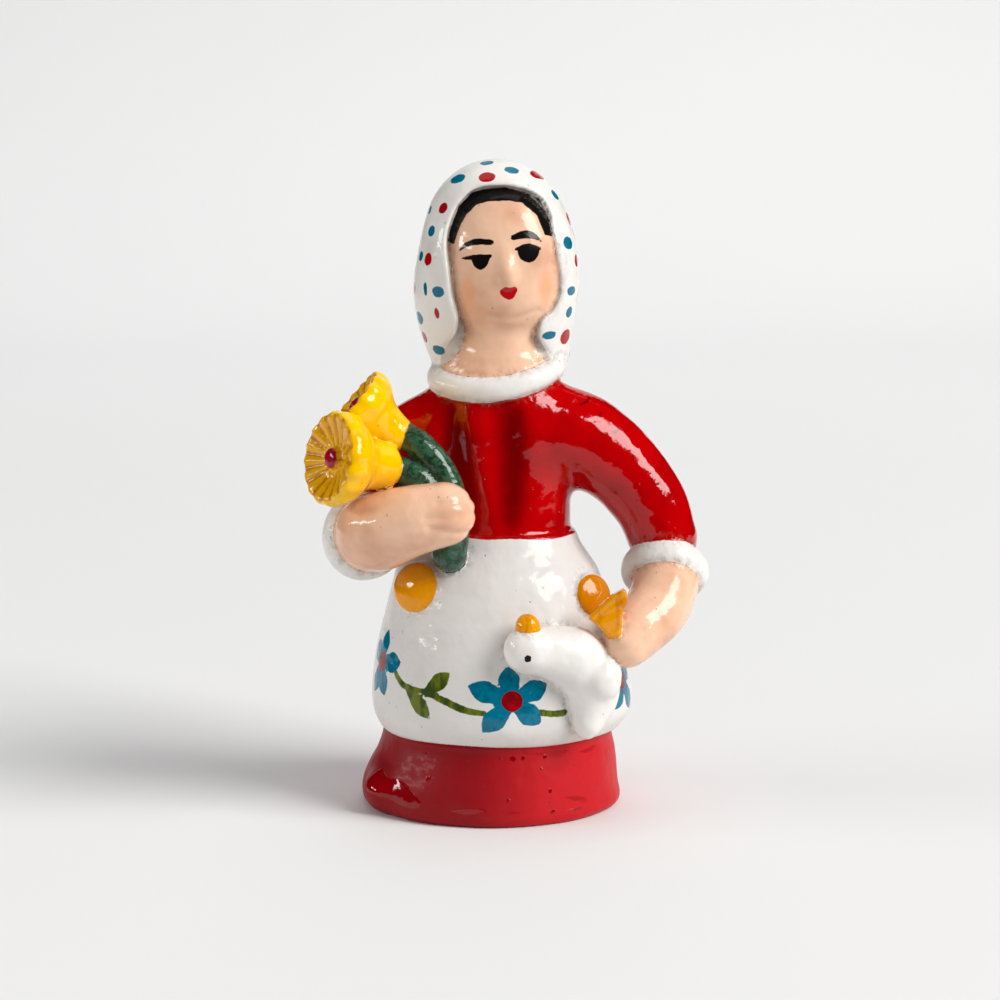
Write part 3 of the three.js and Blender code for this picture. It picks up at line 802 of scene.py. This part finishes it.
def cloth_layers(points, own, front):
    """The reds, their runs and cracks, the whites, and what is painted on them."""
    x, y, z = points
    wrap = WRAP_RADIUS * np.arctan2((x - WRAP_MIDDLE_X) / WRAP_HALF_WIDTH, -y / WRAP_HALF_DEPTH)
    petals = united([flower(wrap, z, *places) for places in FLOWERS])
    middles = united([np.hypot(wrap - u, z - v) - FLOWER_MIDDLE_RADIUS for (u, v), _ in FLOWERS])
    vine = united([stroke(wrap, z, rows) for rows in VINES] + [petal(wrap, z, *leaf) for leaf in LEAVES])
    runs = united([stroke(wrap, z, rows) for rows in RUNS]
                  + [np.hypot(wrap - u, z - v) - radius for u, v, radius in BEADS])
    cracks = united([stroke(x, z, rows) for rows in CRACKS])
    apron = apron_layer(points, wrap, own)
    return {
        "base_skirt": both(own["torso"], HEM_HEIGHT + 0.2 - z),
        # Painted shade: the skirt's foot darker towards the left of its front.
        "thick": np.clip((10 - wrap) / 16, 0, 1) * np.clip((wrap + 60) / 20, 0, 1),
        "runs": both(-runs, HEM_HEIGHT - 1 - z, front),
        # Painted shade in the chest's grooves.
        "groove_shade": painted_groove_shade(points),
        "cracks": both(0.1 - cracks, own["torso"], front),
        "apron": apron,
        "white": either(own["hood"], own["collar"], own["cuffs"], own["duck"], own["pockets"], apron),
        # Painted shade on the scarf's inner wall round the face.
        "inner_wall": both(own["hood"] + 0.3, 0.4 - outline(x, z, OPENING), front),
        "blue": either(both(-petals, own["torso"]), both(-dot_distance(points, "blue"), own["hood"])),
        "crimson": both(-dot_distance(points, "red"), own["hood"]),
        "wine": both(-middles, own["torso"]),
        "olive": both(-vine, own["torso"]),
    }


def skin_layers(points, parts, own, front):
    """The skin, the face and hair, the duck's eye, and the seam along the scarf."""
    x, y, z = points
    lines = united([stroke(x, z, rows) for rows in FACE_LINES] + [iris(x, z, *sizes) for sizes in IRISES])
    hair = both(-outline(x, z, HAIR), either(own["head"], own["hood"]) + 0.15, front)
    duck_eye = both(DUCK_EYE_RADIUS - np.hypot(x - DUCK_EYE[0], z - DUCK_EYE[1]), own["duck"])
    blush = united([np.hypot((x - u) / BLUSH_HALF_WIDTH, (z - v) / BLUSH_HALF_HEIGHT) for u, v in CHEEKS])
    seam = np.where((z > 111) & (y < -4), 1 - np.abs(parts["hood"] - parts["head"]) / SEAM_REACH, 0)
    return {
        "skin": either(own["head"], own["hands"]),
        "blush": np.clip(BLUSH_SPREAD - blush, 0, 1) * (own["head"] > 0),
        "black": either(both(-lines, own["head"] + 0.15, front), hair, duck_eye),
        "lips": both(-outline(x, z, LIPS), own["head"], front),
        "seam": np.clip(seam, 0, 1),
    }


def pocket_discs(points, parts, own):
    discs = np.full(points.shape[1], -FAR)
    for middle, facing, radius in POCKETS:
        x, y, z = turned(points, middle, facing)
        disc = both(radius - DISC_INSET - np.hypot(x, y), z - DISC_FRONT)
        discs = np.maximum(discs, np.where(parts["pockets"] < 1.5, disc, -FAR))
    return both(discs, own["pockets"] + 0.3)


def bloom_layers(points, own):
    """The mouths of the blooms, their buttons, and the furrows between the flutes."""
    mouth = button = np.full(points.shape[1], -FAR)
    furrow = np.zeros(points.shape[1])
    for rim, end, radius in BLOOMS:
        x, y, z = turned(points, rim, np.array(rim) - np.array(end))
        out, front = np.hypot(x, y), z + MOUTH_DEPTH
        close = bloom(points, rim, end, radius) < 1.0
        furrow = np.where(close, 0.5 - 0.5 * np.cos(BLOOM_FLUTES * np.arctan2(y, x)), furrow)
        mouth = np.maximum(mouth, np.where(close, both(MOUTH_SHARE * radius - out, front), -FAR))
        button = np.maximum(button, np.where(close, both(BUTTON_RADIUS - out, front), -FAR))
    return {"mouth": both(mouth, own["blooms"]), "button": both(button, own["blooms"]), "furrow": furrow}


def paint_layers(points):
    """For every layer of paint, how far inside its edge each point lies, in mm."""
    parts = forms(points)
    own, next_form = owned(parts)
    front = np.where(points[1] < 0, FAR, -FAR)
    discs = pocket_discs(points, parts, own)
    return {
        **cloth_layers(points, own, front),
        **skin_layers(points, parts, own, front),
        **bloom_layers(points, own),
        "yellow": either(own["blooms"], own["beak"], own["feet"], discs),
        "orange": discs,
        # Painted light: the left pocket's disc gets a lighter orange.
        "lit_pocket": np.where(points[0] < 0, discs, -FAR),
        "gold": either(own["feet"], own["beak"]),
        "green": own["stems"],
        # Where another form is near: painted shade and dirt in the creases, and a dent there.
        "crease": np.clip(1 - next_form / CREASE_REACH, 0, 1),
    }


def add_object(name, data):
    thing = bpy.data.objects.new(name, data)
    bpy.context.scene.collection.objects.link(thing)
    return thing


def smooth_mesh(name, points, faces):
    mesh = bpy.data.meshes.new(name)
    mesh.from_pydata(points, [], faces)
    mesh.validate()
    mesh.polygons.foreach_set("use_smooth", [True] * len(mesh.polygons))
    return mesh


def make_figurine():
    """The clay's skin as one mesh, with its paint kept on the vertices."""
    axes = levels()
    points, quads = surface_net(axes, sample(*axes))
    points = settle(points, 2)
    points = settle(even_out(points, quads), 2)
    mesh = smooth_mesh("figurine", (points.T * MM).tolist(), quads.tolist())
    for name, values in paint_layers(points).items():
        attribute = mesh.attributes.new(name, "FLOAT", "POINT")
        attribute.data.foreach_set("value", np.clip(values, -4, 4).astype(np.float32))
    slope = slope_of(points, 0.3)
    normals = (slope / np.sqrt((slope * slope).sum(0))).T
    mesh.normals_split_custom_set_from_vertices(normals.tolist())
    return add_object("painted_figurine", mesh)


# Shader helpers

def linear(color):
    """A colour of 0 to 255, as the eye sees it, in the renderer's linear light."""
    channels = [c / 255 for c in color]
    return [c / 12.92 if c <= 0.04045 else ((c + 0.055) / 1.055) ** 2.4 for c in channels] + [1]


class Shader:
    """Short names for the nodes of one material."""

    def __init__(self, name):
        self.material = bpy.data.materials.new(name)
        self.material.use_nodes = True
        self.tree = self.material.node_tree
        self.surface = self.tree.nodes["Principled BSDF"]

    def put(self, socket, value):
        if isinstance(value, bpy.types.NodeSocket):
            self.tree.links.new(value, socket)
        else:
            socket.default_value = value

    def node(self, kind, **values):
        """A new node with some of its sockets set."""
        node = self.tree.nodes.new("ShaderNode" + kind)
        for socket, value in values.items():
            self.put(node.inputs[socket], value)
        return node

    def give(self, socket, value):
        """Sets one of the surface's own sockets."""
        self.put(self.surface.inputs[socket], value)

    def math(self, operation, a, b):
        node = self.node("Math")
        node.operation = operation
        self.put(node.inputs[0], a)
        self.put(node.inputs[1], b)
        return node.outputs[0]

    def times(self, a, b):
        return self.math("MULTIPLY", a, b)

    def plus(self, a, b):
        return self.math("ADD", a, b)

    def minus(self, a, b):
        return self.math("SUBTRACT", a, b)

    def most(self, a, b):
        return self.math("MAXIMUM", a, b)

    def value(self, name):
        """A number kept on the mesh's vertices."""
        node = self.node("Attribute")
        node.attribute_name = name
        return node.outputs["Fac"]

    def place(self):
        return self.node("TexCoord").outputs["Object"]

    def noise(self, scale, detail=2.0, rough=0.5, stretch=None):
        place = self.place()
        if stretch:
            place = self.node("Mapping", Vector=place, Scale=stretch).outputs[0]
        return self.node("TexNoise", Vector=place, Scale=scale, Detail=detail, Roughness=rough).outputs["Fac"]

    def cells(self, scale):
        node = self.node("TexVoronoi", Vector=self.place(), Scale=scale)
        return node.outputs["Distance"], node.outputs["Color"]

    def between(self, value, start, stop, low=0.0, high=1.0):
        """A number that runs smoothly from low to high as the value runs from start to stop."""
        node = self.node("MapRange")
        node.interpolation_type = "SMOOTHSTEP"
        for socket, number in zip(node.inputs, (value, start, stop, low, high)):
            self.put(socket, number)
        return node.outputs[0]

    def mix(self, share, a, b):
        """From paint a to paint b, each a colour of 0 to 255 or a node's output."""
        node = self.node("Mix")
        node.data_type = "RGBA"
        self.put(node.inputs[0], share)
        for socket, paint in ((node.inputs[6], a), (node.inputs[7], b)):
            self.put(socket, linear(paint) if isinstance(paint, tuple) else paint)
        return node.outputs[2]

    def bump(self, height, distance, normal=None):
        node = self.node("Bump", Strength=1.0, Distance=distance, Height=height)
        if normal is not None:
            self.put(node.inputs["Normal"], normal)
        return node.outputs[0]


# Paint colours as they look in even light, with a few painted shades and one painted light among them
RED, DARK_RED, DEEP_RED = (186, 0, 4), (142, 0, 4), (92, 0, 2)
BASE_RED, BASE_STREAK, BASE_LEFT_SHADE, BASE_RUN = (190, 24, 32), (166, 6, 16), (142, 14, 22), (140, 2, 12)
WHITE, APRON_WHITE = (235, 232, 227), (222, 219, 215)
OFF_WHITE, INNER_WALL_SHADE = (214, 210, 204), (206, 198, 190)
SKIN, SKIN_SHADE, BLUSH = (243, 198, 167), (221, 168, 137), (240, 160, 110)
LIP, BLACK = (186, 10, 24), (20, 16, 15)
YELLOW, YELLOW_DEEP, AMBER, BROWN = (255, 200, 0), (250, 182, 0), (242, 176, 18), (200, 126, 12)
ORANGE, LIT_POCKET_ORANGE, GOLD = (206, 122, 2), (228, 140, 6), (234, 152, 4)
GREEN, DARK_GREEN, UMBER = (56, 96, 72), (30, 58, 42), (64, 44, 28)
BLUE, BLUE_DEEP, OLIVE, OLIVE_DEEP = (0, 114, 142), (2, 94, 118), (104, 116, 16), (52, 70, 16)
CRIMSON, WINE, PLUM = (168, 8, 18), (120, 8, 16), (160, 16, 44)
# The second of these is painted shade and dirt for the creases between forms.
SEAM_BROWN, CREASE_SHADE_AND_GRIME, PIT_COLOR = (128, 84, 58), (120, 96, 78), (70, 62, 56)
FLOOR_TONES = ((231, 231, 231), (233, 233, 233))

# Layers with a sharp edge, and half the width of that edge.
EDGED = ("base_skirt", "runs", "cracks", "apron", "white", "inner_wall", "blue", "crimson", "wine", "olive",
         "skin", "black", "lips", "mouth", "button", "yellow", "orange", "lit_pocket", "gold", "green")
EDGE = 0.09


class Enamel(Shader):
    """A material with brush marks, and where each layer of paint covers it."""

    def __init__(self, name):
        super().__init__(name)
        self.brush = self.noise(420, 4, 0.6, (1, 1, 0.35))
        self.blotch = self.noise(520, 4, 0.7)
        self.patch = self.noise(90, 3, 0.5)
        wobble = self.times(self.minus(self.noise(900, 2), 0.5), 0.35)
        self.on = {layer: self.between(self.plus(self.value(layer), wobble), -EDGE, EDGE) for layer in EDGED}


def red_paint(s):
    """The dress, and the flatter red of the skirt's foot with its runs."""
    dress = s.mix(s.between(s.patch, 0.35, 0.9), RED, DARK_RED)
    # Painted shade: a deeper red in the chest's grooves.
    dress = s.mix(s.times(s.value("groove_shade"), 0.6), dress, DEEP_RED)
    level = s.noise(220, 2, 0.5, (0.4, 0.4, 1.8))
    base = s.mix(s.between(level, 0.64, 0.7), BASE_RED, BASE_STREAK)
    # Painted shade: a darker red towards the left of the skirt's foot.
    base = s.mix(s.value("thick"), base, BASE_LEFT_SHADE)
    return s.mix(s.on["base_skirt"], dress, s.mix(s.on["runs"], base, BASE_RUN))


def white_paint(s):
    white = s.mix(s.on["apron"], WHITE, APRON_WHITE)
    white = s.mix(s.between(s.patch, 0.5, 0.85), white, OFF_WHITE)
    # Painted shade: a greyer white on the scarf's inner wall.
    return s.mix(s.on["inner_wall"], white, INNER_WALL_SHADE)


def skin_paint(s):
    skin = s.mix(s.between(s.patch, 0.4, 0.75), SKIN, SKIN_SHADE)
    return s.mix(s.times(s.value("blush"), 0.6), skin, BLUSH)


def green_paint(s):
    green = s.mix(s.between(s.blotch, 0.42, 0.6), GREEN, DARK_GREEN)
    return s.mix(s.between(s.blotch, 0.62, 0.7), green, UMBER)


def yellow_paint(s):
    """The blooms with browner mouths, the pockets, and the duck's beak and feet."""
    yellow = s.mix(s.between(s.patch, 0.4, 0.7), YELLOW, YELLOW_DEEP)
    yellow = s.mix(s.on["orange"], yellow, ORANGE)
    # Painted light: a lighter orange on the left pocket.
    yellow = s.mix(s.on["lit_pocket"], yellow, s.mix(s.between(s.patch, 0.4, 0.6), GOLD, LIT_POCKET_ORANGE))
    yellow = s.mix(s.on["gold"], yellow, s.mix(s.between(s.brush, 0.5, 0.7), GOLD, ORANGE))
    furrows = s.plus(s.value("furrow"), s.noise(500, 3))
    return s.mix(s.on["mouth"], yellow, s.mix(s.between(furrows, 1.05, 1.5), AMBER, BROWN))


def painted_color(s, crease, pit):
    """The paints, with seams, painted shade and dirt in creases, cracks and pits, each over the one before.
    """
    on, streaks, blotches = s.on, s.between(s.brush, 0.4, 0.6), s.between(s.blotch, 0.4, 0.7)
    # Painted shade and dirt in the creases between forms, less on the blooms.
    crease_shade_and_grime = s.times(crease, s.minus(0.4, s.times(on["yellow"], 0.4)))
    color = red_paint(s)
    for share, paint in (
            (on["white"], white_paint(s)), (on["skin"], skin_paint(s)), (on["green"], green_paint(s)),
            (on["yellow"], yellow_paint(s)), (on["button"], PLUM),
            (on["olive"], s.mix(streaks, OLIVE, OLIVE_DEEP)), (on["blue"], s.mix(blotches, BLUE, BLUE_DEEP)),
            (on["crimson"], CRIMSON), (on["wine"], s.mix(blotches, WINE, CRIMSON)),
            (s.times(s.value("seam"), 0.55), SEAM_BROWN), (crease_shade_and_grime, CREASE_SHADE_AND_GRIME), (on["lips"], LIP),
            (s.times(on["cracks"], 0.7), DEEP_RED), (on["black"], BLACK), (s.times(pit, 0.2), PIT_COLOR)):
        color = s.mix(share, color, paint)
    return color


def lay_lacquer(s):
    """Sets how rough each paint is and how thick the lacquer on it."""
    dots = s.most(s.on["blue"], s.on["crimson"])
    glossy = s.most(s.most(dots, s.on["yellow"]), s.on["runs"])
    satin = s.most(s.on["base_skirt"], s.on["white"])
    satin = s.most(satin, s.times(s.on["skin"], 0.4))
    satin = s.times(satin, s.minus(1.0, glossy))
    matt = s.times(s.on["base_skirt"], s.minus(1.0, s.on["runs"]))
    dull = s.times(satin, s.between(s.brush, 0.2, 0.8, 0.16, 0.26))
    dull = s.plus(dull, s.times(matt, 0.14))
    s.give("Roughness", s.plus(dull, 0.09))
    s.give("Specular IOR Level", 0.14)
    thin = s.most(matt, s.most(dots, s.on["black"]))
    s.give("Coat Weight", s.minus(s.minus(0.56, s.times(satin, 0.28)), s.times(thin, 0.24)))
    s.give("Coat Roughness", 0.05)
    s.give("Coat IOR", 1.5)


def fine_relief(s, crease, pit):
    """Swells in the lacquer, grain, raised runs, and dents at pits and creases."""
    swell = s.bump(s.noise(300, 1, 0.4), 0.00024)
    rough = s.plus(s.times(s.on["green"], 3.0), 1.0)
    grain = s.bump(s.times(rough, s.noise(1000, 2, 0.5)), 0.00003, swell)
    dented = s.minus(s.times(s.on["runs"], 0.5), s.plus(pit, crease))
    return s.bump(dented, 0.00012, grain)


def painted_ceramic():
    """Brushed enamel colours over fired clay, under a thick clear lacquer."""
    s = Enamel("painted_ceramic")
    # The creases between forms, broken up: painted shade and dirt there, and a dent.
    crease = s.times(s.value("crease"), s.between(s.noise(700, 3), 0.42, 0.7))
    spot, chance = s.cells(420)
    pit = s.times(s.between(spot, 0.13, 0.07), s.between(chance, 0.7, 0.72))
    s.give("Base Color", painted_color(s, crease, pit))
    lay_lacquer(s)
    relief = fine_relief(s, crease, pit)
    s.give("Normal", relief)
    s.give("Coat Normal", relief)
    return s.material


def floor_material():
    s = Shader("pale_floor")
    s.give("Base Color", s.mix(s.noise(3, 1), *FLOOR_TONES))
    s.give("Roughness", 0.9)
    s.give("Specular IOR Level", 0.2)
    return s.material


# The floor's sweep: half width, front edge, where it bends up, the bend and the top.
FLOOR_HALF_WIDTH, FLOOR_FRONT, FLOOR_BACK = 0.75, -0.3, 1.2
BEND_RADIUS, BEND_STEPS, WALL_TOP = 0.8, 12, 4.0


def make_floor():
    """A seamless sweep, curved up behind the figurine."""
    profile = [(FLOOR_FRONT, 0.0), (FLOOR_BACK, 0.0)]
    for i in range(1, BEND_STEPS + 1):
        angle = math.pi / 2 * i / BEND_STEPS
        profile.append((FLOOR_BACK + BEND_RADIUS * math.sin(angle), BEND_RADIUS * (1 - math.cos(angle))))
    profile.append((FLOOR_BACK + BEND_RADIUS, WALL_TOP))
    points = [(x, y, z) for y, z in profile for x in (-FLOOR_HALF_WIDTH, FLOOR_HALF_WIDTH)]
    faces = [(2 * i, 2 * i + 1, 2 * i + 3, 2 * i + 2) for i in range(len(profile) - 1)]
    floor = add_object("floor_sweep", smooth_mesh("sweep", points, faces))
    floor.data.materials.append(floor_material())


def softbox(name, azimuth, elevation, distance, width, height, power, color, aim=(0, 0, 0.07)):
    """A rectangular light. Azimuth 0 is in front, 90 at the right of the picture."""
    light = bpy.data.lights.new(name, "AREA")
    light.shape = "RECTANGLE"
    light.size, light.size_y = width, height
    light.energy = power
    light.color = color
    a, e = math.radians(azimuth), math.radians(elevation)
    way = Vector((math.sin(a) * math.cos(e), -math.cos(a) * math.cos(e), math.sin(e)))
    place = Vector(aim) + distance * way
    holder = add_object(name, light)
    holder.location = place
    holder.rotation_euler = (Vector(aim) - place).to_track_quat("-Z", "Y").to_euler()
    return light


# Lights on the figurine: name, azimuth, elevation, distance, width, height, power and colour.
SOFTBOXES = [
    ("key", 62, 36, 3, 1.6, 1.7, 97, (1, 0.99, 0.975)),
    ("overhead", 180, 75, 2.3, 1.6, 1.3, 6, (0.98, 0.99, 1)),
    ("left_strip", -80, 17, 1.6, 1.1, 0.14, 8, (1, 0.98, 0.96)),
]


def make_lights():
    for sizes in SOFTBOXES:
        softbox(*sizes)
    backdrop = softbox("backdrop", 180, 89, 1.3, 2.4, 1.2, 2.55, (1, 1, 1), aim=(-0.3, 1.35, 0))
    backdrop.spread = math.radians(90)
    world = bpy.data.worlds.new("studio")
    world.use_nodes = True
    background = world.node_tree.nodes["Background"].inputs
    background["Color"].default_value = (0.97, 0.985, 1.0, 1)
    background["Strength"].default_value = 0.27
    world.cycles_visibility.glossy = False
    bpy.context.scene.world = world


# Camera fitted to the photograph: millimetres, degrees below level, and focal length in pixels
CAMERA_PLACE = (0.7, -600, 160)
CAMERA_PITCH = 8.4
FOCAL_PIXELS, FRAME_PIXELS, SENSOR_WIDTH = 2606, 1000, 36


def make_camera():
    data = bpy.data.cameras.new("camera")
    data.sensor_width = SENSOR_WIDTH
    data.lens = FOCAL_PIXELS / FRAME_PIXELS * SENSOR_WIDTH
    data.clip_start, data.clip_end = 0.01, 20
    camera = add_object("camera", data)
    camera.location = Vector(CAMERA_PLACE) * MM
    camera.rotation_euler = (math.radians(90 - CAMERA_PITCH), 0, 0)
    bpy.context.scene.camera = camera


make_camera()
make_lights()
make_floor()
bpy.context.scene.view_settings.view_transform = "Standard"
figurine = make_figurine()
figurine.data.materials.append(painted_ceramic())
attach(figurine, "root")
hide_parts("figurine")
